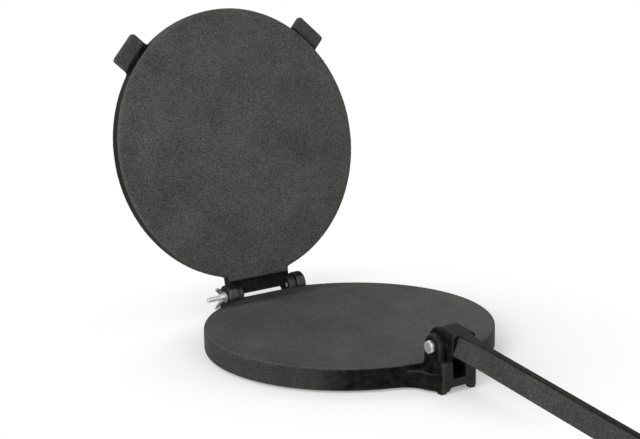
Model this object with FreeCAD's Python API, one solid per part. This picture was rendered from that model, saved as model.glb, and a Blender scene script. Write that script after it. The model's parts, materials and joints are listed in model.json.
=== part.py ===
"""Cast-iron tortilla press: a hinged upper plate, a base and a hand lever.

Frame: origin on the table under the middle of the base, +Z up, +Y from the lever towards
the hinge, X along the hinge bolt with the wing nut on -X. All lengths in millimetres.
The upper plate and the lever are built where the closed press holds them or straight
along -Y, and are then turned to the open press's rest pose.
"""
import FreeCAD, Part
import math
import os

from FreeCAD import Vector

os.makedirs("parts", exist_ok=True)

# Plates
plate_radius = 130.0
foot_height = 2.0
base_height = 20.0
base_skin = 8.0
base_wall = 7.0
plate_thickness = 12.7
plate_skin = 6.5
plate_wall = 7.0
rib_thickness = 6.0
centre_boss_radius = 16.0
plate_boss_radius = 20.0
press_gap = 0.1
edge_round = 1.2
bottom_round = 2.0

# Hinge at the back
hinge_reach = 12.8
hinge_z = 19.8
open_angle = 102.8
hinge_bolt_radius = 2.5
ear_inner_half = 34.0
ear_thickness = 9.0
ear_radius = 11.0
ear_front_reach = 11.8
ear_back_reach = 11.1
rear_foot_length = 13.0
rear_shoulder_height = 15.5
rear_flare_half = 58.0
rear_flare_bulge = 3.0
bridge_depth = 6.0
bridge_top = 12.6
knuckle_width = 7.4
knuckle_gap = 0.6
knuckle_radius = 8.0
arm_reach = 4.6
arm_thickness = 6.0
tongue_half = 32.6
tongue_reach = 12.5
tongue_round = 5.0
leaf_root = 7.0
web_drop = 0.7
pin_inset = 0.5
heel_depth = 4.5
heel_gap = 0.1
rim_relief_reach = 5.0
rim_relief_drop = 2.5

# Lifting tabs of the upper plate
tab_angle = 45.5
tab_width = 34.0
tab_reach = 18.0
tab_setback = 6.0
tab_thickness = 5.0
tab_corner = 3.0
tab_root_round = 4.5

# Clevis at the front
pin_reach = 12.0
pin_z = 38.8
lever_bolt_radius = 3.0
clevis_half = 18.0
clevis_ear_thickness = 5.7
clevis_ear_radius = 10.4
clevis_front = 15.0
clevis_ear_front = 12.0
clevis_back = 14.6
clevis_wall_depth = 4.0
clevis_cheek_depth = 6.5
clevis_wall_top = 28.0
clevis_wall_round = 3.4
clevis_corner_round = 2.2
window_half = 7.0
window_bottom = 12.0
window_corner = 2.0
arch_half = 10.0
arch_height = 5.0
arch_round = 2.2
shoulder_height = 15.5
flare_start_half = 42.0
flare_waist_half = 24.0
flare_waist_offset = 1.0
flare_front_half = 18.5
flare_front_setback = 4.5
flare_bulge = 4.0
front_foot_length = 8.0

# Lever
lever_slope = 7.6
lever_length = 262.0
head_radius = 15.0
head_flat = 10.8
head_side_gap = 0.7
head_edge_round = 3.0
head_block_length = 19.0
neck_length = 29.0
ridge_half = 2.5
ridge_root_half = 6.0
hand_half = 10.0
hand_root_half = 11.0
hand_level = -2.6
section_round = 0.9
closed_angle = 12.0
notch_gap = 1.6
notch_floor_gap = 0.8
notch_length = 28.0
pad_reach = 34.0
pad_radius = 4.0
pad_half = 14.0
pad_gap = 0.3
rib_front_reach = 60.0

# Fasteners
fit_clearance = 0.06
seat_clearance = 0.04
lever_head_flats = 10.0
lever_head_height = 4.0
lever_nut_height = 5.0
lever_bolt_tip = 1.8
hinge_head_flats = 8.0
hinge_head_height = 3.5
washer_radius = 5.0
washer_thickness = 1.0
wing_hub_radius = 4.6
wing_hub_tip_radius = 3.6
wing_hub_length = 5.5
wing_span_radius = 11.0
wing_thickness = 1.9
wing_root = 1.6
wing_splay = 5.2
wing_heel_reach = 8.0
wing_tip_round = 3.4
wing_toe_round = 1.7
wing_heel_round = 1.1
wing_turn = 8.0
wing_nut_gap = 0.1
bolt_tail = 12.7
thread_chamfer = 0.5

# Long enough to run through any wall, and the small overlap that joins pieces of a casting
overrun = 20.0
weld = 0.5

# Share of a corner's room that its round takes, and the chamfer of a hexagon's corners
round_share = 0.9
tip_round_share = 0.95
hex_chamfer_share = 1.3

# Worked out from the values above
hinge_y = plate_radius + hinge_reach
pin_y = -plate_radius - pin_reach
tab_radius = plate_radius + tab_reach
base_top = foot_height + base_height
plate_face = base_top + press_gap
plate_back = plate_face + plate_thickness
ear_outer_half = ear_inner_half + ear_thickness
clevis_inner_half = clevis_half - clevis_ear_thickness
head_half = clevis_inner_half - head_side_gap
knuckle_outer_half = ear_inner_half - knuckle_gap
knuckle_inner_half = knuckle_outer_half - knuckle_width
X_AXIS = Vector(1, 0, 0)
Y_AXIS = Vector(0, 1, 0)
Z_AXIS = Vector(0, 0, 1)
hinge_point = Vector(0, hinge_y, hinge_z)
pin_point = Vector(0, pin_y, pin_z)


def box(x0, x1, y0, y1, z0, z1):
    """Box between two opposite corners."""
    return Part.makeBox(x1 - x0, y1 - y0, z1 - z0, Vector(x0, y0, z0))


def rod(radius, x0, x1, centre):
    """Cylinder along X from x0 to x1 about a centre line."""
    return Part.makeCylinder(radius, x1 - x0, Vector(x0, centre.y, centre.z), X_AXIS)


def rounded_wire(points, rounds):
    """Closed wire through the points, each corner rounded by its own radius (0 = sharp)."""
    count = len(points)
    starts = []
    ends = []
    middles = []
    for i in range(count):
        corner = points[i]
        before = points[i - 1] - corner
        after = points[(i + 1) % count] - corner
        before.normalize()
        after.normalize()
        half = before.getAngle(after) / 2
        radius = rounds[i]
        run = radius / math.tan(half)
        inward = before + after
        inward.normalize()
        starts.append(corner + before * run)
        ends.append(corner + after * run)
        middles.append(corner + inward * (radius / math.sin(half) - radius))
    edges = []
    for i in range(count):
        if rounds[i] > 0:
            edges.append(Part.Arc(starts[i], middles[i], ends[i]).toShape())
        edges.append(Part.LineSegment(ends[i], starts[(i + 1) % count]).toShape())
    return Part.Wire(edges)


def rounded_prism(points, rounds, along):
    """Prism over a rounded outline."""
    return Part.Face(rounded_wire(points, rounds)).extrude(along)


def side_prism(outline, rounds, x0, x1):
    """Prism along X over an outline given as (y, z) pairs."""
    points = [Vector(x0, y, z) for y, z in outline]
    return rounded_prism(points, rounds, X_AXIS * (x1 - x0))


def plan_prism(outline, rounds, z0, z1):
    """Prism along Z over an outline given as (x, y) pairs."""
    points = [Vector(x, y, z0) for x, y in outline]
    return rounded_prism(points, rounds, Z_AXIS * (z1 - z0))


def front_prism(outline, rounds, y0, y1):
    """Prism along Y over an outline given as (x, z) pairs."""
    points = [Vector(x, y0, z) for x, z in outline]
    return rounded_prism(points, rounds, Y_AXIS * (y1 - y0))


def hexagon(flats, x0, x1, centre):
    """Hexagonal prism along X with chamfered corners, a corner pointing up."""
    reach = flats / math.sqrt(3)
    outline = []
    for i in range(6):
        angle = math.radians(60 * i)
        outline.append((centre.y + reach * math.sin(angle), centre.z + reach * math.cos(angle)))
    prism = side_prism(outline, [0] * 6, x0, x1)
    dome = rod(reach, x0, x1, centre)
    rims = [e for e in dome.Edges if len(e.Vertexes) == 1]
    return prism.common(dome.makeChamfer((reach - flats / 2) * hex_chamfer_share, rims))


def ear_outline(centre, radius, front, back, foot):
    """Side view of a lug: a round top about its pin, straight flanks down to its foot."""
    outline = []
    for sign, reach in ((-1, front), (1, back)):
        drop = centre.z - foot
        distance = math.hypot(reach, drop)
        lean = math.atan2(reach, drop) - math.asin(radius / distance)
        outline.append((sign * reach, -drop))
        outline.append((sign * radius * math.cos(lean), radius * math.sin(lean)))
    foot_front, touch_front, foot_back, touch_back = outline
    points = [foot_front, touch_front, touch_back, foot_back]
    return [Vector(0, centre.y + y, centre.z + z) for y, z in points]


def lug(centre, radius, front, back, foot, x0, x1):
    """Lug along X: flanks tangent to a round top."""
    a, b, c, d = [p + Vector(x0, 0, 0) for p in ear_outline(centre, radius, front, back, foot)]
    top = Vector(x0, centre.y, centre.z + radius)
    edges = [
        Part.LineSegment(a, b).toShape(),
        Part.Arc(b, top, c).toShape(),
        Part.LineSegment(c, d).toShape(),
        Part.LineSegment(d, a).toShape(),
    ]
    return Part.Face(Part.Wire(edges)).extrude(X_AXIS * (x1 - x0))


def on_rim(x, side):
    """Point of the plate's rim circle at x, in front (-1) or behind (+1)."""
    return Vector(x, side * math.sqrt(plate_radius ** 2 - x ** 2), foot_height)


def arc_between(start, end, bulge, centre_side):
    """Arc from start to end, bowed by bulge towards the given point."""
    chord = end - start
    middle = (start + end) * 0.5
    normal = Vector(-chord.y, chord.x, 0)
    normal.normalize()
    if normal.dot(centre_side - middle) < 0:
        normal = normal * -1
    return Part.Arc(start, middle + normal * bulge, end).toShape()


def front_flare():
    """Lower body of the clevis, swept out of the rim in two hollow curves."""
    front_y = pin_y - clevis_front
    waist_y = pin_y - flare_waist_offset
    inner = plate_radius - base_wall
    starts = []
    for side in (-1, 1):
        rim = on_rim(side * flare_start_half, -1)
        waist = Vector(side * flare_waist_half, waist_y, foot_height)
        corner = Vector(side * flare_front_half, front_y + flare_front_setback, foot_height)
        starts.append((rim, waist, corner))
    (rim_l, waist_l, corner_l), (rim_r, waist_r, corner_r) = starts
    bow = Vector(0, -inner, foot_height)
    edges = [
        arc_between(rim_l, waist_l, flare_bulge, bow),
        Part.LineSegment(waist_l, corner_l).toShape(),
        Part.LineSegment(corner_l, corner_r).toShape(),
        Part.LineSegment(corner_r, waist_r).toShape(),
        arc_between(waist_r, rim_r, flare_bulge, bow),
    ]
    inset_l = rim_l * (inner / plate_radius)
    inset_r = rim_r * (inner / plate_radius)
    inset_l.z = foot_height
    inset_r.z = foot_height
    edges.append(Part.LineSegment(rim_r, inset_r).toShape())
    edges.append(Part.LineSegment(inset_r, inset_l).toShape())
    edges.append(Part.LineSegment(inset_l, rim_l).toShape())
    body = Part.Face(Part.Wire(edges)).extrude(Z_AXIS * shoulder_height)
    hollow = Part.makeCylinder(inner, overrun + base_height, Vector(0, 0, 0))
    pocket = box(-clevis_inner_half, clevis_inner_half, front_y + clevis_wall_depth,
                 -plate_radius - weld, 0, overrun + base_height)
    return body.cut(hollow).cut(pocket)


def clevis_ear(side):
    """Ear beside the lever's head, its outer front edge rounded."""
    low, high = sorted((side * clevis_inner_half, side * clevis_half))
    ear = lug(pin_point, clevis_ear_radius, clevis_ear_front, clevis_back, foot_height, low, high)
    corners = [e for e in ear.Edges if abs(e.CenterOfMass.x - side * clevis_half) < weld
               and e.CenterOfMass.y < pin_y - clevis_ear_front / 2
               and e.CenterOfMass.z < pin_z and e.Length > clevis_ear_front]
    return ear.makeFillet(clevis_corner_round, corners)


def clevis_wall():
    """Front wall across both ears, rounded over at its top and its two corners."""
    front_y = pin_y - clevis_front
    back_y = front_y + clevis_cheek_depth
    outline = [(front_y, foot_height), (front_y, clevis_wall_top),
               (back_y, clevis_wall_top), (back_y, foot_height)]
    wall = side_prism(outline, [0, clevis_wall_round, 0, 0], -clevis_half, clevis_half)
    corners = [e for e in wall.Edges if abs(abs(e.CenterOfMass.x) - clevis_half) < weld
               and abs(e.CenterOfMass.y - front_y) < weld and e.Length > clevis_wall_top / 2]
    wall = wall.makeFillet(clevis_corner_round, corners)
    pocket = box(-clevis_inner_half, clevis_inner_half, front_y + clevis_wall_depth,
                 back_y + weld, 0, clevis_wall_top + weld)
    return wall.cut(pocket)


def front_cutters():
    """Window between the ears, the arch under the wall and the bolt's bore."""
    front_y = pin_y - clevis_front
    back_y = front_y + clevis_wall_depth + weld
    window = front_prism(
        [(-window_half, window_bottom), (window_half, window_bottom),
         (window_half, pin_z), (-window_half, pin_z)],
        [window_corner, window_corner, 0, 0], front_y - overrun, back_y)
    arch = front_prism(
        [(-arch_half, -overrun), (arch_half, -overrun),
         (arch_half, arch_height), (-arch_half, arch_height)],
        [0, 0, arch_round, arch_round], front_y - overrun, back_y)
    bore = rod(lever_bolt_radius + seat_clearance, -clevis_half - overrun,
               clevis_half + overrun, pin_point)
    return [window, arch, bore]


def rear_ear(side):
    """Hinge ear with its foot and the flare that joins it to the rim."""
    inner = side * ear_inner_half
    outer = side * ear_outer_half
    low, high = sorted((inner, outer))
    ear = lug(hinge_point, ear_radius, ear_front_reach, ear_back_reach, foot_height, low, high)
    foot = box(low, high, hinge_y + ear_radius - rear_foot_length, hinge_y + ear_radius,
               0, foot_height + weld)
    inset_share = (plate_radius - base_wall) / plate_radius
    rim = on_rim(side * rear_flare_half, 1)
    shoulder = Vector(outer, hinge_y - ear_front_reach, foot_height)
    inside = Vector(inner, hinge_y - ear_front_reach, foot_height)
    root = on_rim(inner, 1) * inset_share
    root.z = foot_height
    far = rim * inset_share
    far.z = foot_height
    back_out = Vector(outer, hinge_y, foot_height)
    back_in = Vector(inner, hinge_y, foot_height)
    edges = [
        arc_between(rim, shoulder, rear_flare_bulge, Vector(0, 0, foot_height)),
        Part.LineSegment(shoulder, back_out).toShape(),
        Part.LineSegment(back_out, back_in).toShape(),
        Part.LineSegment(back_in, inside).toShape(),
        Part.LineSegment(inside, root).toShape(),
        Part.LineSegment(root, far).toShape(),
        Part.LineSegment(far, rim).toShape(),
    ]
    flare = Part.Face(Part.Wire(edges)).extrude(Z_AXIS * rear_shoulder_height)
    hollow = Part.makeCylinder(plate_radius - base_wall, overrun + base_height, Vector(0, 0, 0))
    return ear.fuse([foot, flare.cut(hollow)])


def cross_ribs(reach, z0, z1):
    """Four ribs in a cross, from the middle out to the rim."""
    half = rib_thickness / 2
    along_y = box(-half, half, -reach, reach, z0, z1)
    along_x = box(-reach, reach, -half, half, z0, z1)
    return along_y.fuse(along_x)


def level_rims(shape, z):
    """Full-circle edges of a shape at one level."""
    return [e for e in shape.Edges if len(e.Vertexes) == 1 and abs(e.CenterOfMass.z - z) < weld]


def rim_relief():
    """Slope cut off the rim between the rear ears, so that light passes under the hinge."""
    inner_y = plate_radius - rim_relief_reach
    outer_y = plate_radius + rim_relief_reach
    outline = [(inner_y, base_top), (outer_y, base_top - 2 * rim_relief_drop),
               (outer_y, base_top + overrun), (inner_y, base_top + overrun)]
    return side_prism(outline, [0] * 4, -ear_inner_half, ear_inner_half)


def base_casting():
    """Round base, hollow below, with the rear ears and the front clevis."""
    disc = Part.makeCylinder(plate_radius, base_height, Vector(0, 0, foot_height))
    disc = disc.makeFillet(edge_round, level_rims(disc, base_top))
    disc = disc.makeFillet(bottom_round, level_rims(disc, foot_height))
    inner = plate_radius - base_wall
    hollow = Part.makeCylinder(inner, base_height - base_skin, Vector(0, 0, foot_height))
    ribs = cross_ribs(inner + weld, foot_height, base_top - base_skin + weld)
    boss = Part.makeCylinder(centre_boss_radius, base_top - base_skin + weld, Vector(0, 0, 0))
    bridge = box(-ear_inner_half - weld, ear_inner_half + weld,
                 hinge_y + ear_radius - bridge_depth, hinge_y + ear_radius,
                 foot_height, bridge_top)
    feet = []
    for side in (-1, 1):
        low, high = sorted((side * clevis_inner_half, side * clevis_half))
        front_y = pin_y - clevis_front
        feet.append(box(low, high, front_y + clevis_corner_round,
                        front_y + front_foot_length, 0, foot_height + weld))
    body = disc.cut(hollow)
    body = body.fuse([ribs, boss, bridge, rear_ear(-1), rear_ear(1), front_flare(),
                      clevis_ear(-1), clevis_ear(1), clevis_wall()] + feet)
    for cutter in front_cutters() + [rim_relief()]:
        body = body.cut(cutter)
    hinge_bore = rod(hinge_bolt_radius + seat_clearance, -ear_outer_half - overrun,
                     ear_outer_half + overrun, hinge_point)
    return body.cut(hinge_bore).removeSplitter()


def tongue():
    """Strap of the upper plate that runs back to the hinge, with rounded inner corners."""
    end_y = hinge_y - tongue_reach
    start_y = math.sqrt(plate_radius ** 2 - (tongue_half + tongue_round) ** 2)
    outline = [
        (-tongue_half - tongue_round, start_y - tongue_round),
        (-tongue_half - tongue_round, start_y),
        (-tongue_half, start_y),
        (-tongue_half, end_y),
        (tongue_half, end_y),
        (tongue_half, start_y),
        (tongue_half + tongue_round, start_y),
        (tongue_half + tongue_round, start_y - tongue_round),
    ]
    inner = tongue_round * round_share
    rounds = [0, 0, inner, edge_round, edge_round, inner, 0, 0]
    return plan_prism(outline, rounds, plate_face, plate_back)


def hinge_leaf():
    """Web behind the tongue, and at each end an arm, its round knuckle and a stop heel."""
    end_y = hinge_y - tongue_reach
    root = [(end_y - leaf_root, plate_back), (end_y - leaf_root, plate_face + edge_round),
            (end_y, plate_face + edge_round)]
    turn = math.radians(open_angle)
    lip = (hinge_y + web_drop * math.sin(turn), hinge_z - web_drop * math.cos(turn))
    web = side_prism(root + [lip, (hinge_y, plate_back)], [0, 0, 0, 0, edge_round],
                     -knuckle_inner_half - weld, knuckle_inner_half + weld)
    eye = [(hinge_y - arm_reach / 2, hinge_z), (hinge_y + arm_reach, hinge_z),
           (hinge_y + arm_reach, plate_back - arm_thickness), (hinge_y, plate_back)]
    pieces = [web]
    for side in (-1, 1):
        low, high = sorted((side * knuckle_inner_half, side * knuckle_outer_half))
        pieces.append(side_prism(root + eye, [0] * 5 + [edge_round] * 2, low, high))
        pieces.append(rod(knuckle_radius, low, high, hinge_point))
        pieces.append(stop_heel(low, high))
    return pieces


def stop_heel(x0, x1):
    """Heel that lands on the base's bridge when the plate is open; built open, turned shut."""
    bridge_front = hinge_y + ear_radius - bridge_depth
    heel = box(x0, x1, bridge_front, bridge_front + heel_depth, bridge_top + heel_gap, hinge_z)
    heel.rotate(hinge_point, X_AXIS, open_angle)
    return heel


def lifting_tab(side):
    """Thumb tab beside the lever, set back from the pressing face."""
    z0 = plate_face + tab_setback
    half = tab_width / 2
    root = plate_wall - plate_radius
    flare = half + tab_root_round
    rim = -math.sqrt(plate_radius ** 2 - flare ** 2)
    outline = [(-flare, root), (-flare, rim), (-half, rim), (-half, -tab_radius),
               (half, -tab_radius), (half, rim), (flare, rim), (flare, root)]
    inner = tab_root_round * round_share
    rounds = [0, 0, inner, tab_corner, tab_corner, inner, 0, 0]
    tab = plan_prism(outline, rounds, z0, z0 + tab_thickness)
    tab.rotate(Vector(0, 0, 0), Z_AXIS, side * tab_angle)
    return tab


def bearing_pad():
    """Round-topped bar on the plate's back that the closed lever's ridge presses on."""
    lean = math.radians(closed_angle)
    ridge = Vector(0, pad_reach * math.cos(lean) + head_radius * math.sin(lean),
                   pad_reach * math.sin(lean) - head_radius * math.cos(lean))
    drop = Vector(0, math.sin(lean), -math.cos(lean)) * (pad_radius + pad_gap)
    centre = pin_point + ridge + drop
    bar = rod(pad_radius, -pad_half, pad_half, centre)
    block = box(-pad_half, pad_half, centre.y - pad_radius, centre.y + pad_radius,
                plate_face + weld, centre.z)
    return bar.fuse(block).common(box(-pad_half, pad_half, centre.y - overrun,
                                      centre.y + overrun, plate_face + weld, plate_back))


def upper_plate_closed():
    """Upper plate as the closed press holds it, pressing face on the base's."""
    disc = Part.makeCylinder(plate_radius, plate_thickness, Vector(0, 0, plate_face))
    disc = disc.makeFillet(edge_round, level_rims(disc, plate_back))
    disc = disc.makeFillet(edge_round, level_rims(disc, plate_face))
    inner = plate_radius - plate_wall
    hollow = Part.makeCylinder(inner, plate_thickness, Vector(0, 0, plate_face + plate_skin))
    body = disc.cut(hollow)
    floor = plate_face + plate_skin - weld
    half = rib_thickness / 2
    spine = box(-half, half, pin_y + rib_front_reach, inner + weld, floor, plate_back)
    crossbar = box(-inner - weld, inner + weld, -half, half, floor, plate_back)
    boss = Part.makeCylinder(plate_boss_radius, plate_back - floor, Vector(0, 0, floor))
    pieces = [spine, crossbar, boss, tongue(), lifting_tab(-1), lifting_tab(1)]
    body = body.fuse(pieces + hinge_leaf())
    notch_half = head_half + notch_gap
    notch = box(-notch_half, notch_half, pin_y, pin_y + notch_length,
                pin_z - head_radius - notch_floor_gap, pin_z + overrun)
    notch.rotate(pin_point, X_AXIS, closed_angle)
    body = body.cut(notch).fuse(bearing_pad())
    for side in (-1, 1):
        low, high = sorted((side * knuckle_inner_half, side * ear_inner_half))
        body = body.cut(rod(hinge_bolt_radius + fit_clearance, low, high, hinge_point))
    return body.removeSplitter()


def upper_plate():
    """Upper plate turned open until its heels land on the bridge."""
    plate = upper_plate_closed()
    plate.rotate(hinge_point, X_AXIS, -open_angle)
    return plate


def bar_section(reach, ridge, hand):
    """Section of the lever: a narrow ridge above, sloping sides, a broad hand face below."""
    top = head_radius
    outline = [(-hand, hand_level), (hand, hand_level), (ridge, top), (-ridge, top)]
    points = [Vector(x, pin_y - reach, pin_z + n) for x, n in outline]
    return rounded_wire(points, [section_round] * 4)


def lever_bar():
    """Neck and long bar, rounded off at the free end."""
    root = bar_section(head_block_length - weld, ridge_root_half, hand_root_half)
    waist = bar_section(head_block_length + neck_length, ridge_half, hand_half)
    tip = bar_section(lever_length, ridge_half, hand_half)
    neck = Part.makeLoft([root, waist], True, True)
    bar = Part.makeLoft([waist, tip], True, True)
    end_y = pin_y - lever_length
    outline = [(-hand_root_half - weld, pin_y), (-hand_root_half - weld, end_y + hand_half * 2),
               (-hand_half, end_y + hand_half * 2 - weld), (-hand_half, end_y),
               (hand_half, end_y), (hand_half, end_y + hand_half * 2 - weld),
               (hand_root_half + weld, end_y + hand_half * 2), (hand_root_half + weld, pin_y)]
    tip_round = hand_half * tip_round_share
    rounds = [0, 0, 0, tip_round, tip_round, 0, 0, 0]
    trim = plan_prism(outline, rounds, pin_z - overrun, pin_z + overrun + head_radius)
    return neck.fuse(bar).common(trim)


def lever():
    """Hand lever: head on the bolt with a flat that lets the plate pass, shoulder and bar."""
    head = rod(head_radius, -head_half, head_half, pin_point)
    rims = [e for e in head.Edges if len(e.Vertexes) == 1]
    head = head.makeFillet(head_edge_round, rims)
    low = pin_z + hand_level
    high = pin_z + head_radius
    block_outline = [(-head_half, low), (head_half, low), (head_half, high), (-head_half, high)]
    block = front_prism(block_outline, [section_round, section_round, head_edge_round,
                                          head_edge_round],
                          pin_y - head_block_length, pin_y)
    body = head.fuse([block, lever_bar()])
    body = body.cut(rod(lever_bolt_radius + fit_clearance, -head_half - weld,
                        head_half + weld, pin_point))
    body.rotate(pin_point, X_AXIS, lever_slope)
    relief = box(-head_radius, head_radius, pin_y + head_flat, pin_y + overrun,
                 pin_z - overrun, pin_z + overrun)
    return body.cut(relief).removeSplitter()


def shank(radius, x0, x1, centre):
    """Bolt shank along X from under its head at x0 to its chamfered free end at x1."""
    body = rod(radius, min(x0, x1), max(x0, x1), centre)
    tip = [e for e in body.Edges if len(e.Vertexes) == 1 and abs(e.CenterOfMass.x - x1) < weld]
    return body.makeChamfer(thread_chamfer, tip)


def lever_bolt():
    """Hexagon bolt through the clevis and the lever's head, its head on -X."""
    end = clevis_half + lever_nut_height + lever_bolt_tip
    head = hexagon(lever_head_flats, -clevis_half - lever_head_height, -clevis_half, pin_point)
    return head.fuse(shank(lever_bolt_radius, -clevis_half - weld, end, pin_point)).removeSplitter()


def lever_nut():
    """Hexagon nut on the lever bolt's +X end."""
    nut = hexagon(lever_head_flats, clevis_half, clevis_half + lever_nut_height, pin_point)
    return nut.cut(rod(lever_bolt_radius + seat_clearance, clevis_half - weld,
                       clevis_half + lever_nut_height + weld, pin_point))


def hinge_bolt():
    """Hexagon bolt through the right ear, its plain end in the right knuckle's eye."""
    head = hexagon(hinge_head_flats, ear_outer_half, ear_outer_half + hinge_head_height,
                   hinge_point)
    pin = shank(hinge_bolt_radius, ear_outer_half + weld, knuckle_inner_half + pin_inset,
                hinge_point)
    return head.fuse(pin).removeSplitter()


def hinge_stud():
    """Headless pin through the left knuckle and ear, with a free tail for the wing nut."""
    tail = -ear_outer_half - washer_thickness - wing_hub_length - bolt_tail
    return shank(hinge_bolt_radius, -knuckle_inner_half - pin_inset, tail, hinge_point)


def hinge_washer():
    """Flat washer between the left ear and the wing nut."""
    washer = rod(washer_radius, -ear_outer_half - washer_thickness, -ear_outer_half, hinge_point)
    return washer.cut(rod(hinge_bolt_radius + seat_clearance, -ear_outer_half - overrun,
                          -ear_outer_half + weld, hinge_point))


def wing(sign, seat):
    """One thumb wing, leaning away from the ear."""
    hub = wing_hub_radius - wing_root
    outline = [(seat - wing_root / 2, sign * hub), (seat - wing_hub_length + wing_root, sign * hub),
               (seat - wing_hub_length - wing_splay, sign * wing_heel_reach),
               (seat - wing_hub_length - wing_splay, sign * wing_span_radius),
               (seat - wing_hub_length + wing_root / 2, sign * wing_span_radius)]
    points = [Vector(x, hinge_y - wing_thickness / 2, hinge_z + z) for x, z in outline]
    rounds = [0, 0, wing_heel_round, wing_toe_round, wing_tip_round]
    return rounded_prism(points, rounds, Y_AXIS * wing_thickness)


def wing_nut():
    """Wing nut on the hinge stud, free to be turned by hand."""
    seat = -ear_outer_half - washer_thickness - wing_nut_gap
    hub = Part.makeCone(wing_hub_radius, wing_hub_tip_radius, wing_hub_length,
                        Vector(seat, hinge_y, hinge_z), X_AXIS * -1)
    body = hub.fuse([wing(-1, seat), wing(1, seat)])
    body = body.cut(rod(hinge_bolt_radius + fit_clearance, seat - overrun, seat + weld,
                        hinge_point))
    body = body.removeSplitter()
    body.rotate(hinge_point, X_AXIS, wing_turn)
    return body


PIECES = {
    "base": base_casting,
    "upper_plate": upper_plate,
    "lever": lever,
    "lever_bolt": lever_bolt,
    "lever_nut": lever_nut,
    "hinge_bolt": hinge_bolt,
    "hinge_stud": hinge_stud,
    "hinge_washer": hinge_washer,
    "wing_nut": wing_nut,
}

for name, make in PIECES.items():
    shape = make()
    if len(shape.Solids) == 1:
        shape = shape.Solids[0]
    shape.exportStep("parts/" + name + ".step")
    bounds = shape.BoundBox
    print(name, "solids", len(shape.Solids), "valid", shape.isValid(),
          "volume", round(shape.Volume), "box",
          [round(v, 1) for v in (bounds.XMin, bounds.XMax, bounds.YMin, bounds.YMax,
                                 bounds.ZMin, bounds.ZMax)])
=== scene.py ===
"""Cast-iron tortilla press, standing open on a white table.

The castings are the frame's own solids with the soft edges and the grain that sand moulding
gives. The bolts, pin, nuts and washer are made as new surfaces. Lengths are in metres.
"""

import json
import math

import bmesh
import bpy
import numpy as np
from mathutils import Matrix


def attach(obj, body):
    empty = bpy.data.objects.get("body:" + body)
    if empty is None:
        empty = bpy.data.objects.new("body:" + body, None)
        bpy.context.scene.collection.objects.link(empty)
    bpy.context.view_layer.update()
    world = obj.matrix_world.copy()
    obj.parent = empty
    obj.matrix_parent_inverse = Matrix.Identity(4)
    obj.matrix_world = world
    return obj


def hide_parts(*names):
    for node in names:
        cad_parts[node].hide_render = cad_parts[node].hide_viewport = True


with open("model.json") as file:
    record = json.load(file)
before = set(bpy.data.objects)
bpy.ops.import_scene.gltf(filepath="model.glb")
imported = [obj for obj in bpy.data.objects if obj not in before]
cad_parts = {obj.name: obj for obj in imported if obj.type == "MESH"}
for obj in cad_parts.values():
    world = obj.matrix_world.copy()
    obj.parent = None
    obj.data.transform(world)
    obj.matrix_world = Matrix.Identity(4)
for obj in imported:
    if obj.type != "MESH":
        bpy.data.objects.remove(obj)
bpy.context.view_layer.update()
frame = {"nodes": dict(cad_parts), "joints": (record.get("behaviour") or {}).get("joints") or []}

# Camera: where the photograph was taken from, low and to the front left, 1.5 m away. The
# lens is long, so the two plates keep their round outlines, and the picture leans a little.
azimuth, elevation, lean = math.radians(-34.22), math.radians(13.69), math.radians(-1.16)
standing_point = (-0.8183, -1.1602, 0.4624)
lens_mm, sensor_mm, farthest_seen = 93.19, 36.0, 50.0

back = np.array([math.sin(azimuth) * math.cos(elevation),
                 -math.cos(azimuth) * math.cos(elevation), math.sin(elevation)])
level = np.cross(-back, [0, 0, 1])
level /= np.linalg.norm(level)
upright = np.cross(level, -back)
right = math.cos(lean) * level + math.sin(lean) * upright
top = -math.sin(lean) * level + math.cos(lean) * upright
camera = bpy.data.objects.new("camera", bpy.data.cameras.new("camera"))
bpy.context.scene.collection.objects.link(camera)
camera.data.sensor_width = sensor_mm
camera.data.lens = lens_mm
camera.data.clip_end = farthest_seen
pose = np.eye(4)
pose[:3, :3] = np.column_stack([right, top, back])
pose[:3, 3] = standing_point
camera.matrix_world = Matrix(pose.tolist())
bpy.context.scene.camera = camera
bpy.context.scene.view_settings.view_transform = "Standard"

# Table: a table top of matt white laminate, on which shade falls softly and nothing mirrors.
# It glows a little for the eye, and away from the press it pales into the white of the room,
# so that no edge of it shows.
table_side = 6.0
laminate_white, table_glow = "#efefef", 0.3
pale_from, pale_to = 0.17, 0.28


def linear(code):
    """The linear colour of an sRGB hex code, by the standard curve in its two parts."""
    share = np.array([int(code[i:i + 2], 16) for i in (1, 3, 5)]) / 255
    bent = np.where(share <= 0.04045, share / 12.92, ((share + 0.055) / 1.055) ** 2.4)
    return (*bent.tolist(), 1.0)


def add(tree, kind, settings=None, **links):
    """Adds a shader node. Settings go to its properties or its inputs' values, and links to
    its inputs, both by name with underscores for spaces or by number after a letter n."""
    node = tree.nodes.new(kind)
    named = {s.name.replace(" ", "_"): s for s in reversed(node.inputs)}
    numbered = {"n" + str(i): s for i, s in enumerate(node.inputs)}
    sockets = {**numbered, **named}
    for key, value in (settings or {}).items():
        if key in sockets:
            sockets[key].default_value = value
        else:
            setattr(node, key, value)
    for key, source in links.items():
        tree.links.new(source, sockets[key])
    return node


def seen_directly(tree):
    """1 for rays from the eye, a mirror or glass, and 0 for the light that falls on things."""
    path = add(tree, "ShaderNodeLightPath").outputs
    mirrored = add(tree, "ShaderNodeMath", {"operation": "MAXIMUM"},
                   n0=path["Is Glossy Ray"], n1=path["Is Transmission Ray"])
    return add(tree, "ShaderNodeMath", {"operation": "MAXIMUM"},
               n0=path["Is Camera Ray"], n1=mirrored.outputs[0]).outputs[0]


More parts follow.
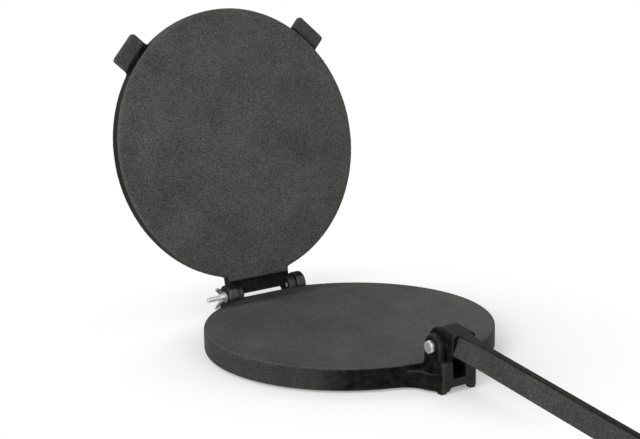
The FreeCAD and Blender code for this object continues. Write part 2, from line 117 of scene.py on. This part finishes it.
laminate = bpy.data.materials.new("matt_white_laminate")
laminate.use_nodes = True
tree = laminate.node_tree
tree.nodes.clear()
spot = add(tree, "ShaderNodeTexCoord").outputs["Object"]
away = add(tree, "ShaderNodeVectorMath", {"operation": "LENGTH"}, Vector=spot).outputs["Value"]
far = add(tree, "ShaderNodeMapRange", {"From_Min": pale_from, "From_Max": pale_to}, Value=away)
surface = add(tree, "ShaderNodeBsdfDiffuse", {"Color": linear(laminate_white)})
direct = seen_directly(tree)
lift = add(tree, "ShaderNodeMath", {"operation": "MULTIPLY", "n1": table_glow}, n0=direct)
glow = add(tree, "ShaderNodeEmission", {"Color": (1, 1, 1, 1)}, Strength=lift.outputs[0])
near = add(tree, "ShaderNodeAddShader", n0=surface.outputs[0], n1=glow.outputs[0])
blank = add(tree, "ShaderNodeEmission", {"Color": (1, 1, 1, 1), "Strength": 1.0})
share = add(tree, "ShaderNodeMath", {"operation": "MULTIPLY"}, n0=far.outputs[0], n1=direct)
both = add(tree, "ShaderNodeMixShader", n0=share.outputs[0], n1=near.outputs[0],
           n2=blank.outputs[0])
add(tree, "ShaderNodeOutputMaterial", Surface=both.outputs[0])

corner = table_side / 2
mesh = bpy.data.meshes.new("table")
mesh.from_pydata([(-corner, -corner, 0), (corner, -corner, 0), (corner, corner, 0),
                  (-corner, corner, 0)], [], [(0, 1, 2, 3)])
table = bpy.data.objects.new("table", mesh)
table.data.materials.append(laminate)
bpy.context.scene.collection.objects.link(table)

# Studio: a white room, as bright as paper to the eye but dim as a light, with a large soft
# light on the left, a weaker one high up behind and the weakest in front.
room_light = 0.42

room = bpy.data.worlds.new("studio")
bpy.context.scene.world = room
room.use_nodes = True
tree = room.node_tree
tree.nodes.clear()
strength = add(tree, "ShaderNodeMapRange", {"To_Min": room_light, "To_Max": 1.0},
               Value=seen_directly(tree))
sky = add(tree, "ShaderNodeBackground", {"Color": (1, 1, 1, 1)}, Strength=strength.outputs[0])
add(tree, "ShaderNodeOutputWorld", Surface=sky.outputs[0])

for name, place, aim, side, watts in (
        ("softbox_left", (-1.5, -0.5, 0.9), (0, 0, 0.1), 1.2, 18.0),
        ("softbox_front", (-0.2, -2.0, 0.9), (0, 0, 0.15), 1.0, 5.0),
        ("softbox_back", (0.6, 1.6, 1.4), (0, 0, 0.1), 1.2, 9.0)):
    lamp = bpy.data.lights.new(name, "AREA")
    lamp.size = side
    lamp.energy = watts
    holder = bpy.data.objects.new(name, lamp)
    towards = np.array(aim) - np.array(place)
    across = np.cross(towards, [0, 0, 1])
    across /= np.linalg.norm(across)
    forward = towards / np.linalg.norm(towards)
    turn = np.eye(4)
    turn[:3, :3] = np.column_stack([across, np.cross(across, forward), -forward])
    turn[:3, 3] = place
    holder.matrix_world = Matrix(turn.tolist())
    bpy.context.scene.collection.objects.link(holder)

# Base: grey iron poured in green sand, then oiled and baked. Sand can't hold a sharp corner,
# so every edge comes out soft. Oil bakes on black where it gathers, as on the clevis; the
# strip of the face before the hinge is left black, and the rest of the face stays dry and grey.
# Painted light makes the fronts of the ears, the clevis's front and the sides of the wall
# grey, and painted shade leaves the rest of the wall black.
iron_slot = "seasoned_cast_iron"
base_cube, base_triangles = 0.0009, 195000

# Where the base changes between grey and black, by dryness and by painted light and shade,
# each pair from the start of a change to its end: heights, distances back, forward and to
# either side, and distances from the axis. The last row is how grey the partly grey places
# are, from 0 to 1: the clevis's front and the wall's sides by painted light, the hollow by
# being partly dry.
face_level, face_rim, dark_strip = (0.0206, 0.0218), (0.1296, 0.1302), (0.098, 0.114)
ear_level, ear_front, ear_back = (0.0180, 0.0225), 0.1305, (0.1345, 0.1365)
clevis_front, wall_sides, wall_outside = (0.1553, 0.1566), (0.072, 0.110), 0.1305
hollow_radius = 0.126
clevis_front_lightness, wall_side_lightness, hollow_dry = 0.35, 0.5, 0.4


def joined_copy(name):
    """A copy of a CAD node's mesh with its loose triangles joined at their corners."""
    same_corner = 2e-6
    model = bmesh.new()
    model.from_mesh(frame["nodes"][name].data)
    bmesh.ops.remove_doubles(model, verts=model.verts, dist=same_corner)
    copy = bpy.data.meshes.new(name + "_copy")
    model.to_mesh(copy)
    model.free()
    return copy


def points_of(mesh):
    """The mesh's points as an array with one row each."""
    flat = np.empty(len(mesh.vertices) * 3)
    mesh.vertices.foreach_get("co", flat)
    return flat.reshape(-1, 3)


def mark(mesh, name, values):
    """Keeps one value for each point of the mesh as an attribute for the material."""
    mesh.attributes.new(name, "FLOAT", "POINT").data.foreach_set("value", values)


def through(mesh, kind, **settings):
    """The mesh that comes out of one modifier."""
    holder = bpy.data.objects.new("holder", mesh)
    bpy.context.scene.collection.objects.link(holder)
    modifier = holder.modifiers.new(kind, kind)
    for key, value in settings.items():
        setattr(modifier, key, value)
    bpy.context.view_layer.update()
    result = bpy.data.meshes.new_from_object(
        holder.evaluated_get(bpy.context.evaluated_depsgraph_get()))
    bpy.data.objects.remove(holder)
    return result


def relaxed(points, pairs, passes):
    """Each pass moves every point half way to the mean of the points it is joined to, which
    rounds corners evenly and leaves flat faces where they are."""
    first, second = pairs[:, 0], pairs[:, 1]
    count = len(points)
    joined = np.bincount(first, minlength=count) + np.bincount(second, minlength=count)
    for _ in range(passes):
        total = np.stack([np.bincount(first, column[second], count)
                          + np.bincount(second, column[first], count)
                          for column in points.T], axis=1)
        points = (points + total / joined[:, None]) / 2
    return points


def moulded(mesh, cube, passes):
    """The mesh built again from cubes of one size, with its corners rounded. It keeps, as the
    attribute edge, how far each point stands out of (+) or sinks into (-) the mean of its
    wider surroundings, along its normal and in halves of a cube."""
    wide_passes, calming_passes = 14, 2
    mesh = through(mesh, "REMESH", mode="VOXEL", voxel_size=cube)
    pairs = np.empty(len(mesh.edges) * 2, int)
    mesh.edges.foreach_get("vertices", pairs)
    pairs = pairs.reshape(-1, 2)
    points = relaxed(points_of(mesh), pairs, passes)
    mesh.vertices.foreach_set("co", points.ravel())
    mesh.update()
    normals = np.empty(len(points) * 3)
    mesh.vertices.foreach_get("normal", normals)
    surroundings = relaxed(points, pairs, wide_passes)
    stands = ((points - surroundings) * normals.reshape(-1, 3)).sum(1) / (cube / 2)
    stands = relaxed(stands[:, None], pairs, calming_passes)[:, 0]
    mark(mesh, "edge", np.clip(stands, -1, 1))
    return mesh


def thinned(mesh, triangles):
    """The mesh of squares thinned to at most so many triangles, where it has more."""
    share = triangles / (2 * len(mesh.polygons))
    if share < 1:
        mesh = through(mesh, "DECIMATE", ratio=share)
    return mesh


def show(name, mesh, body, material, slot, *nodes):
    """Puts a finished mesh in the scene as a piece that stands for its CAD nodes."""
    mesh.name = name
    mesh.materials.clear()
    mesh.materials.append(material)
    mesh.polygons.foreach_set("use_smooth", np.ones(len(mesh.polygons), bool))
    piece = bpy.data.objects.new(name, mesh)
    bpy.context.scene.collection.objects.link(piece)
    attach(piece, body)
    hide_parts(*nodes)


def ramp(values, low, high):
    """0 below low, 1 above high, and a smooth S between them: three times the square of the
    share of the way, less twice its cube."""
    share = np.clip((values - low) / (high - low), 0, 1)
    return share * share * (3 - 2 * share)


def base_dryness_and_painted_light(points):
    """1 where the base is grey, 0 where it is black. The face is dry but for the strip before
    the hinge, and the hollow is partly dry. The fronts of the ears are a painted highlight,
    the clevis's front is partly grey as painted light, and the wall is painted light at its
    sides and painted shade towards the clevis and the hinge. The rest is black with oil."""
    x, y, z = points.T
    reach = np.hypot(x, y)
    # The strip of the face before the hinge is left black.
    face = ramp(z, *face_level) * (1 - ramp(reach, *face_rim)) * (1 - ramp(y, *dark_strip))
    # Painted highlight on the fronts of the ears.
    ear_front_highlight = ramp(z, *ear_level) * (y > ear_front) * (1 - ramp(y, *ear_back))
    # Painted light on the clevis's front.
    clevis_front_light = clevis_front_lightness * ramp(-y, *clevis_front)
    # Painted light on the sides of the wall, and painted shade where it stays black.
    wall_side_light = wall_side_lightness * ramp(np.abs(x), *wall_sides) * (reach < wall_outside)
    hollow = hollow_dry * (reach < hollow_radius)
    return np.max([face, ear_front_highlight, clevis_front_light, wall_side_light, hollow], axis=0)


# Oiled sand-cast iron. Dry, it is a matt grey with dark specks where the grains of sand were,
# and under baked oil it is nearly black, streaked and smoother. It mirrors almost nothing.
# The attribute that mixes grey and black also lays on painted highlights, painted light and
# painted shade in places.
# Real grains are 0.3 mm; they are drawn at the size that still shows from 1.5 m.
grain_mm, pit_mm, patch_mm, streak_mm = 1.3, 3.2, 38.0, 6.0
oil_black, oil_thin, dry_grey, dry_pale = "#080808", "#1f1f1d", "#484847", "#5c5c5a"
pit_share, relief_depth, streak_rub, streak_roughness = 0.3, 0.0005, 0.6, 0.12

iron = bpy.data.materials.new("oiled_sand_cast_iron")
iron.use_nodes = True
tree = iron.node_tree
tree.nodes.clear()
place = add(tree, "ShaderNodeTexCoord").outputs["Object"]
grain = add(tree, "ShaderNodeTexNoise", {"Scale": 1000 / grain_mm, "Detail": 1.5,
                                         "Roughness": 0.6}, Vector=place).outputs["Fac"]
pits = add(tree, "ShaderNodeTexVoronoi", {"Scale": 1000 / pit_mm}, Vector=place)
patches = add(tree, "ShaderNodeTexNoise", {"Scale": 1000 / patch_mm, "Detail": 5.0,
                                           "Roughness": 0.6}, Vector=place)
streaks = add(tree, "ShaderNodeTexNoise", {"Scale": 1000 / streak_mm, "Detail": 3.0},
              Vector=place)
edge = add(tree, "ShaderNodeAttribute", {"attribute_name": "edge"}).outputs["Fac"]
dry_and_painted_light = add(tree, "ShaderNodeAttribute", {"attribute_name": "dry_and_painted_light"}).outputs["Fac"]
tone = add(tree, "ShaderNodeMapRange", {"From_Min": 0.25, "From_Max": 0.75},
           Value=patches.outputs["Fac"]).outputs[0]
baked = add(tree, "ShaderNodeMapRange", {"From_Min": 0.35, "From_Max": 0.65},
            Value=streaks.outputs["Fac"])
black = add(tree, "ShaderNodeMix", {"data_type": "RGBA", "n6": linear(oil_black),
                                    "n7": linear(oil_thin)}, n0=baked.outputs[0])
grey = add(tree, "ShaderNodeMix", {"data_type": "RGBA", "n6": linear(dry_grey),
                                   "n7": linear(dry_pale)}, n0=tone)
skin = add(tree, "ShaderNodeMix", {"data_type": "RGBA"}, n0=dry_and_painted_light, n6=black.outputs[2],
           n7=grey.outputs[2])

# The grain's specks show fully where the iron is dry, and at half strength through the oil.
speck = add(tree, "ShaderNodeMapRange", {"From_Min": 0.33, "From_Max": 0.67, "To_Min": 0.52,
                                         "To_Max": 1.5}, Value=grain)
open_grain = add(tree, "ShaderNodeMapRange", {"To_Min": 0.5}, Value=dry_and_painted_light)
shown = add(tree, "ShaderNodeMix", {"data_type": "FLOAT", "n2": 1.0},
            n0=open_grain.outputs[0], n3=speck.outputs[0])
grained = add(tree, "ShaderNodeVectorMath", {"operation": "SCALE"}, Vector=skin.outputs[2],
              Scale=shown.outputs[0])

# Corners that stand out are rubbed grey in streaks, and those that sink in stay darker.
rub = add(tree, "ShaderNodeMath", {"operation": "MULTIPLY_ADD", "n1": streak_rub,
                                   "n2": -streak_rub / 2}, n0=streaks.outputs["Fac"])
worn = add(tree, "ShaderNodeMath", {"operation": "ADD"}, n0=edge, n1=rub.outputs[0])
bare = add(tree, "ShaderNodeMapRange", {"From_Min": 0.45, "From_Max": 1.15, "To_Max": 0.3},
           Value=worn.outputs[0])
rubbed = add(tree, "ShaderNodeMix", {"data_type": "RGBA", "n7": linear(dry_pale)},
             n0=bare.outputs[0], n6=grained.outputs[0])
deep = add(tree, "ShaderNodeMapRange", {"From_Min": -0.8, "From_Max": -0.1, "To_Min": 0.4,
                                        "To_Max": 1.0}, Value=edge)
colour = add(tree, "ShaderNodeVectorMath", {"operation": "SCALE"}, Vector=rubbed.outputs[2],
             Scale=deep.outputs[0])

# Grains and pits give the relief, which oil fills a little, and oiled iron is smoother.
pitted = add(tree, "ShaderNodeMapRange", {"From_Min": 0.0, "From_Max": 0.35},
             Value=pits.outputs["Distance"])
height = add(tree, "ShaderNodeMath", {"operation": "MULTIPLY_ADD", "n1": pit_share},
             n0=pitted.outputs[0], n2=grain)
relief = add(tree, "ShaderNodeMapRange", {"To_Min": 0.4, "To_Max": 0.6}, Value=dry_and_painted_light)
bump = add(tree, "ShaderNodeBump", {"Distance": relief_depth}, Strength=relief.outputs[0],
           Height=height.outputs[0])
matt = add(tree, "ShaderNodeMapRange", {"To_Min": 0.46, "To_Max": 0.7}, Value=dry_and_painted_light)
rough = add(tree, "ShaderNodeMath", {"operation": "MULTIPLY_ADD", "n1": streak_roughness},
            n0=baked.outputs[0], n2=matt.outputs[0])
finish = add(tree, "ShaderNodeBsdfPrincipled", {"IOR": 1.5, "Specular_IOR_Level": 0.05},
             Base_Color=colour.outputs[0], Roughness=rough.outputs[0],
             Normal=bump.outputs[0])
add(tree, "ShaderNodeOutputMaterial", Surface=finish.outputs[0])

mesh = moulded(joined_copy("base"), base_cube, passes=2)
mark(mesh, "dry_and_painted_light", base_dryness_and_painted_light(points_of(mesh)))
show("base_casting", thinned(mesh, base_triangles), "base_body", iron, iron_slot, "base")

# Upper plate: a casting of the same iron. Its pressing face and its lifting tabs are dry, its
# ribbed back partly so, and the roots of the tabs are left black as painted shade. The fronts
# of its knuckles carry a painted highlight, and the web between the knuckles is black as
# painted shade under the end of the tongue. It is worked out lying shut on the base, and
# then swung open again.
joints = {joint["name"]: joint for joint in frame["joints"]}
hinge_line = np.array(joints["plate_hinge"]["pos_m"])
closing_turn = math.radians(joints["plate_hinge"]["range_deg"][1])
plate_cube, plate_triangles = 0.0010, 195000

# Where the shut plate changes between grey and black, given in the same way: heights of the
# face and knuckles, the distance back to the disc's end, and distances from the axis for the
# back and the tabs, whose roots hold painted shade. The knuckles' fronts are a painted
# highlight.
disc_back, plate_level, back_rim = (0.1288, 0.1302), (0.0232, 0.0250), (0.126, 0.129)
tab_root_shade, knuckle_level, knuckle_inside = (0.1330, 0.1352), (0.0124, 0.0142), 0.0255
back_dry, tab_dry, knuckle_highlight_strength = 0.4, 0.7, 0.95


def swung(points, angle):
    """The points turned about the hinge's line: each keeps its X and its distance from it."""
    moved = points - hinge_line
    y, z = moved[:, 1].copy(), moved[:, 2].copy()
    moved[:, 1] = math.cos(angle) * y - math.sin(angle) * z
    moved[:, 2] = math.sin(angle) * y + math.cos(angle) * z
    return moved + hinge_line


def plate_dryness_and_painted_light(points):
    """1 where the shut upper plate is grey, 0 where it is black. The face, the tabs and partly
    the back are dry, the fronts of the knuckles carry a painted highlight, and the roots of
    the tabs and the web beyond the disc's end are left black as painted shade.
    """
    x, y, z = points.T
    reach = np.hypot(x, y)
    # Beyond the disc's end the plate stays black, which lays painted shade on the web.
    disc = 1 - ramp(y, *disc_back)
    face = (1 - ramp(z, *plate_level)) * disc
    back = back_dry * disc * (1 - ramp(reach, *back_rim))
    # Painted shade at the roots of the tabs, which stay black.
    tabs = tab_dry * ramp(reach, *tab_root_shade) * (y < 0)
    # Painted highlight on the fronts of the knuckles.
    knuckle_front_highlight = knuckle_highlight_strength * (1 - ramp(z, *knuckle_level)) * (np.abs(x) > knuckle_inside)
    return np.max([face, back, tabs, knuckle_front_highlight], axis=0)


mesh = joined_copy("upper_plate")
mesh.vertices.foreach_set("co", swung(points_of(mesh), closing_turn).ravel())
mesh = moulded(mesh, plate_cube, passes=2)
mark(mesh, "dry_and_painted_light", plate_dryness_and_painted_light(points_of(mesh)))
mesh.vertices.foreach_set("co", swung(points_of(mesh), -closing_turn).ravel())
show("upper_plate_casting", thinned(mesh, plate_triangles), "upper_plate_body", iron,
     iron_slot, "upper_plate")

# Lever: the third casting of the same iron. Its round head, which sits in the clevis, is black
# with oil, and the ear's shadow is painted on it up to the start of the bar. The ridge along
# the top of its bar is black as painted shade, and the sides of the bar are dry.
lever_pin = joints["lever_pivot"]["pos_m"][1:]
lever_slope = math.radians(7.6)
lever_cube, lever_triangles = 0.0005, 190000
head_end_and_shadow_edge, ridge_foot = (0.0191, 0.0199), (0.0130, 0.0142)
bar_dry, ridge_painted_shade = 0.62, 0.9


def lever_dryness_and_painted_light(points):
    """1 where the lever is dry and grey, 0 where it is black: the head with baked oil and the
    ear's painted shadow up to the start of the bar, the ridge with painted shade. Both are
    found by each point's distance along the bar and above its middle line, measured from
    the pin."""
    y, z = points[:, 1] - lever_pin[0], points[:, 2] - lever_pin[1]
    along = -y * math.cos(lever_slope) - z * math.sin(lever_slope)
    above = z * math.cos(lever_slope) - y * math.sin(lever_slope)
    # The head stays black up to the ear's painted shadow, and the ridge carries painted shade.
    return bar_dry * ramp(along, *head_end_and_shadow_edge) * (1 - ridge_painted_shade * ramp(above, *ridge_foot))


mesh = moulded(joined_copy("lever"), lever_cube, passes=2)
mark(mesh, "dry_and_painted_light", lever_dryness_and_painted_light(points_of(mesh)))
show("lever_casting", thinned(mesh, lever_triangles), "lever_body", iron, iron_slot, "lever")

# Hexagon bolts: stock steel bolts, forged, rolled and then plated with bright zinc. The M6 one
# goes through the clevis and the lever's head, and the M5 one through the right ear of the
# hinge into the plate's knuckle. Their heads have the stock 30 degree chamfer.
steel_slot = "zinc_plated_steel"
hinge_pin = joints["plate_hinge"]["pos_m"][1:]
steps_round = 96
around = np.arange(steps_round) * (2 * math.pi / steps_round)
chamfer_slope, chamfer_circle = math.tan(math.radians(30)), 0.95
pitch, pin_chamfer, pin_taper = 0.0008, 0.0004, 0.985
seat_height, seat_share, under_head = 0.0001, 0.97, 0.0003


def hexagon(flats):
    """Distance from a hexagon's middle to its side in every direction, corners up and down:
    half the flats over the cosine of the angle from the middle of that side."""
    return flats / 2 / np.cos(around % (math.pi / 3) - math.pi / 6)


def ring(radius, out):
    """One row of a turned surface: radius and outward distance, equal all round or not."""
    return np.stack([np.broadcast_to(radius, around.shape),
                     np.broadcast_to(out, around.shape)])


def closed_skin(grid, capped):
    """Points and faces of a surface whose rows of points are closed loops, with a square
    between each two neighbours. The first and last rows are closed at their middle with
    triangles, or joined to each other where the piece has a bore."""
    rows, columns = grid.shape[:2]
    joins = rows - 1 if capped else rows
    row, here = np.meshgrid(np.arange(joins), np.arange(columns), indexing="ij")
    this, after, beside = row * columns, (row + 1) % rows * columns, (here + 1) % columns
    faces = np.stack([this + here, this + beside, after + beside, after + here], -1)
    faces = faces.reshape(-1, 4).tolist()
    points = grid.reshape(-1, 3)
    if capped:
        points = np.vstack([points, grid[[0, -1]].mean(1)])
        here, beside = here[0], beside[0]
        last, middle = (rows - 1) * columns, np.full(columns, rows * columns)
        faces += np.stack([beside, here, middle], -1).tolist()
        faces += np.stack([last + here, last + beside, middle + 1], -1).tolist()
    return points, faces


def turned(rows, seat, sign, line, capped=True):
    """Points and faces of rows carried round an axis along X. Each row gives the radius and
    the distance out from the seat, sign says which way is out, and line is the axis's Y and
    Z."""
    rows = np.stack(rows)
    radius, out = rows[:, 0], rows[:, 1]
    grid = np.stack([seat + sign * out, line[0] + radius * np.sin(around),
                     line[1] + radius * np.cos(around)], axis=-1)
    return closed_skin(grid, capped)


def solid(name, *shells):
    """One mesh from closed shells of points and faces, all turned to face outwards."""
    same_point = 1e-7
    points, faces = [], []
    for shell_points, shell_faces in shells:
        faces += [[len(points) + k for k in face] for face in shell_faces]
        points += np.asarray(shell_points).tolist()
    mesh = bpy.data.meshes.new(name)
    mesh.from_pydata(points, [], faces)
    model = bmesh.new()
    model.from_mesh(mesh)
    bmesh.ops.remove_doubles(model, verts=model.verts, dist=same_point)
    bmesh.ops.recalc_face_normals(model, faces=model.faces)
    model.to_mesh(mesh)
    model.free()
    return mesh


def hexagon_top(flats, height):
    """Rows of a chamfered hexagon's end, from near its middle out to its sides and closest
    together on the chamfer: flat inside the chamfer's circle, and from there falling by the
    chamfer's slope."""
    reach = hexagon(flats)
    flat = chamfer_circle * flats / 2
    shares = (0.1, 0.5, 0.75, 0.8, 0.84, 0.87, 0.9, 0.93, 0.96, 0.985, 1.0)
    return [ring(share * reach, height - chamfer_slope * np.maximum(0, share * reach - flat))
            for share in shares]


def thread(radius, start, end):
    """Rows of a rolled thread between two distances along the pin: the radius falls and rises
    once per pitch, with a flat crest and root, and the wave is carried round as a helix."""
    depth, steepness, crest, rows_per_pitch = 0.55 * pitch, 1.35, 0.2, 12
    rows = []
    for out in np.arange(start, end, pitch / rows_per_pitch * math.copysign(1, end - start)):
        wave = np.abs(2 * ((out / pitch + around / (2 * math.pi)) % 1) - 1)
        rows.append(ring(radius - depth * np.clip(steepness * wave - crest, 0, 1), out))
    return rows


def tip(radius, end, inward):
    """Rows of a pin's chamfered end, where inward is the sign of the way back along it."""
    return [ring(radius, end + inward * pin_chamfer), ring(radius - pin_chamfer, end),
            ring((radius - pin_chamfer) / 2, end)]


def bolt(name, seat, sign, line, flats, height, radius, end, threaded_from=None):
    """Hexagon bolt: its head outside the seat, its pin inside, threaded from one distance on
    where it has a thread."""
    reach = hexagon(flats)
    rows = hexagon_top(flats, height)
    rows += [ring(reach, height / 2), ring(reach, seat_height), ring(seat_share * reach, 0.0),
             ring(radius, 0.0), ring(radius, -under_head)]
    if threaded_from:
        rows += thread(radius, threaded_from, end + pin_chamfer)
    else:
        rows += [ring(radius, end / 2)]
    return solid(name, turned(rows + tip(pin_taper * radius, end, 1), seat, sign, line))


# Bright zinc plate: a pale metal, faintly blue in places, whose thin coat lies a little
# unevenly, so its light is broad and slightly cloudy and not a mirror's.
cloud_mm, zinc_pale, zinc_blue = 2.2, "#d6d6d2", "#bfc1c2"

zinc = bpy.data.materials.new("bright_zinc_plate")
zinc.use_nodes = True
tree = zinc.node_tree
tree.nodes.clear()
place = add(tree, "ShaderNodeTexCoord").outputs["Object"]
cloud = add(tree, "ShaderNodeTexNoise", {"Scale": 1000 / cloud_mm, "Detail": 3.0},
            Vector=place)
rough = add(tree, "ShaderNodeMapRange", {"From_Min": 0.3, "From_Max": 0.7, "To_Min": 0.32,
                                         "To_Max": 0.48}, Value=cloud.outputs["Fac"])
tint = add(tree, "ShaderNodeMix", {"data_type": "RGBA", "n6": linear(zinc_pale),
                                   "n7": linear(zinc_blue)}, n0=cloud.outputs["Fac"])
finish = add(tree, "ShaderNodeBsdfPrincipled", {"Metallic": 0.8}, Base_Color=tint.outputs[2],
             Roughness=rough.outputs[0])
add(tree, "ShaderNodeOutputMaterial", Surface=finish.outputs[0])

clevis_half, m6_flats, m6_radius = 0.018, 0.010, 0.003
mesh = bolt("lever_bolt", -clevis_half, -1, lever_pin, m6_flats, height=0.004,
            radius=m6_radius, end=-0.0428, threaded_from=-0.034)
show("lever_hexagon_bolt", mesh, "base_body", zinc, steel_slot, "lever_bolt")

hinge_half, m5_flats, m5_radius = 0.043, 0.008, 0.0025
mesh = bolt("hinge_bolt", hinge_half, 1, hinge_pin, m5_flats, height=0.0035,
            radius=m5_radius, end=-0.0165)
show("hinge_hexagon_bolt", mesh, "base_body", zinc, steel_slot, "hinge_bolt")

# Hinge pin: a headless M5 pin of plated steel, held in the left ear. The plate's left knuckle
# turns on its smooth inner end, and the rest is threaded and stands out past the wing nut.
pin_start, pin_length, end_middle, tip_radius = 0.0265, 0.0357, 0.0012, 0.00246
smooth_to, thread_from, thread_to = 0.0150, 0.0165, 0.0351
rows = [ring(end_middle, 0.0), ring(m5_radius - pin_chamfer, 0.0),
        ring(m5_radius, pin_chamfer), ring(m5_radius, smooth_to)]
rows += thread(m5_radius, thread_from, thread_to) + tip(tip_radius, pin_length, -1)
show("hinge_pin", solid("hinge_stud", turned(rows, -pin_start, -1, hinge_pin)), "base_body",
     zinc, steel_slot, "hinge_stud")

# Lever nut: a stock M6 hexagon nut of zinc-plated steel, chamfered on both faces, tight on the
# right-hand side of the clevis.
nut_height, nut_bore, nut_mouth, countersink = 0.005, 0.00305, 0.0036, 0.0004
rows = hexagon_top(m6_flats, nut_height)[2:]
rows += [ring(reach, nut_height - out) for reach, out in reversed(rows)]
rows += [ring(nut_mouth, 0.0), ring(nut_bore, countersink),
         ring(nut_bore, nut_height - countersink), ring(nut_mouth, nut_height)]
show("lever_hexagon_nut",
     solid("lever_nut", turned(rows, clevis_half, 1, lever_pin, capped=False)),
     "base_body", zinc, steel_slot, "lever_nut")

# Washer: stamped from steel sheet and tumbled before it was plated, so that its rim is round.
# It lies between the left ear and the wing nut.
washer_radius, washer_thickness, washer_bore = 0.0050, 0.0010, 0.00255
rim_round, bore_round, bore_edge, rim_start = 0.0002, 0.00009, 0.0001, 0.12
rim = np.linspace(rim_start, math.pi - rim_start, 7)
rows = [ring(washer_radius - rim_round * (1 - math.sin(turn)),
             washer_thickness / 2 * (1 - math.cos(turn))) for turn in rim]
rows += [ring(washer_bore + bore_round, washer_thickness - bore_edge),
         ring(washer_bore, washer_thickness / 2), ring(washer_bore + bore_round, bore_edge)]
show("flat_washer",
     solid("hinge_washer", turned(rows, -hinge_half, -1, hinge_pin, capped=False)),
     "base_body", zinc, steel_slot, "hinge_washer")

# Wing nut: pressed from steel and zinc plated, with two thumb wings on a round hub. It stands
# a tenth of a millimetre off its washer, and its wings lean a little out of the upright.
washer_gap = 0.0001
nut_seat = hinge_half + washer_thickness + washer_gap
wing_thickness, wing_core, wing_lean = 0.0019, 0.74, math.radians(8)
nut_cube = 0.00016


def wing(side):
    """One thumb wing, up or down by its side. Its outline runs through six corners, given by
    their distance out from the seat and from the pin, and each rounding pass moves its points
    half way to the mean of their neighbours. It is carried across the thickness while it
    shrinks towards its middle as a circle does, so that the rim is round like a coin's."""
    corners = np.array([(0.0006, 0.0026), (0.0044, 0.0026), (0.0106, 0.0084),
                        (0.0103, 0.0109), (0.0062, 0.0109), (0.0020, 0.0062)])
    edge_points, rounding_passes, layer_count, outer_share = 24, 60, 11, 0.98
    edges = np.roll(corners, -1, axis=0) - corners
    steps = np.arange(edge_points)[:, None, None] / edge_points
    outline = (corners + steps * edges).transpose(1, 0, 2).reshape(-1, 2)
    for _ in range(rounding_passes):
        outline = (outline + (np.roll(outline, 1, 0) + np.roll(outline, -1, 0)) / 2) / 2
    middle = outline.mean(0)
    layers = []
    for share in np.linspace(-outer_share, outer_share, layer_count):
        size = wing_core + (1 - wing_core) * math.sqrt(1 - share ** 2)
        flat = middle + size * (outline - middle)
        across, along = wing_thickness / 2 * share, side * flat[:, 1]
        y = hinge_pin[0] + math.cos(wing_lean) * across - math.sin(wing_lean) * along
        z = hinge_pin[1] + math.sin(wing_lean) * across + math.cos(wing_lean) * along
        layers.append(np.stack([-nut_seat - flat[:, 0], y, z], -1))
    return closed_skin(np.stack(layers), capped=True)


# The hub's outline as radius and distance out: foot, waist, rounded top and bore.
hub_bore, hub_height = 0.00256, 0.0055
hub_outline = ((0.00262, 0.0), (0.0042, 0.0), (0.0046, 0.0003), (0.0044, 0.0020),
               (0.0039, 0.0045), (0.0036, 0.0053), (0.0033, hub_height), (0.00275, hub_height),
               (hub_bore, 0.0052), (hub_bore, 0.0003))
rows = [ring(radius, out) for radius, out in hub_outline]
mesh = solid("wing_nut", turned(rows, -nut_seat, -1, hinge_pin, capped=False), wing(-1),
             wing(1))
show("thumb_nut", moulded(mesh, nut_cube, passes=3), "wing_nut_body", zinc, steel_slot,
     "wing_nut")
